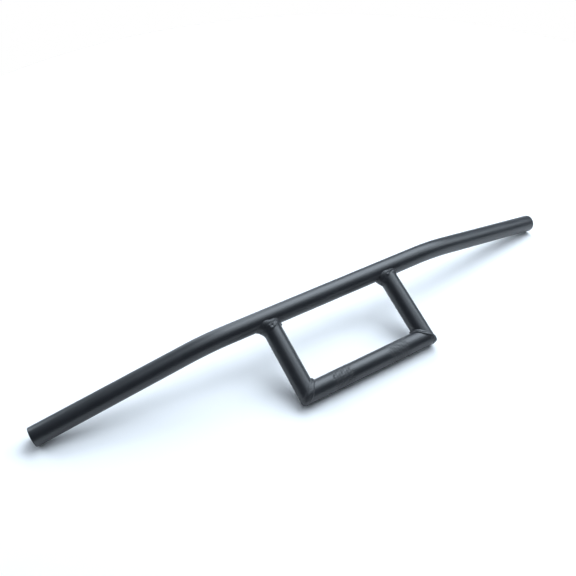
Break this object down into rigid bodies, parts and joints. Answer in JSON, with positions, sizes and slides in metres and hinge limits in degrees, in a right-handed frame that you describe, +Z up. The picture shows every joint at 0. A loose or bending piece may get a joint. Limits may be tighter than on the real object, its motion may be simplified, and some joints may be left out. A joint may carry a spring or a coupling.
{
  "type": "motorcycle handlebar",
  "caption": "Bent steel tube motorcycle handlebar with a welded rectangular window frame, knurled riser seats on the lower tube and open bar ends.",
  "frame": {"origin": "on the clamp tube's axis, midway between the two knurled riser seats", "axes": "+X along the clamp tube towards the right bar end, +Y from the clamp tube towards the bar ends along the surface it lies on, +Z up from that surface. The surface is 13.5 mm below the origin."},
  "size_m": [0.8162, 0.1401, 0.0745],
  "materials": {
    "black_tube": "satin black powder coat over steel tube",
    "black_weld": "satin black powder coat over rippled weld bead"
  },
  "bodies": {
    "root": {"top_bar": "black_tube", "left_upright": "black_tube", "right_upright": "black_tube", "clamp_tube": "black_tube", "left_saddle_weld": "black_weld", "right_saddle_weld": "black_weld", "left_mitre_weld": "black_weld", "right_mitre_weld": "black_weld"}
  },
  "joints": []
}
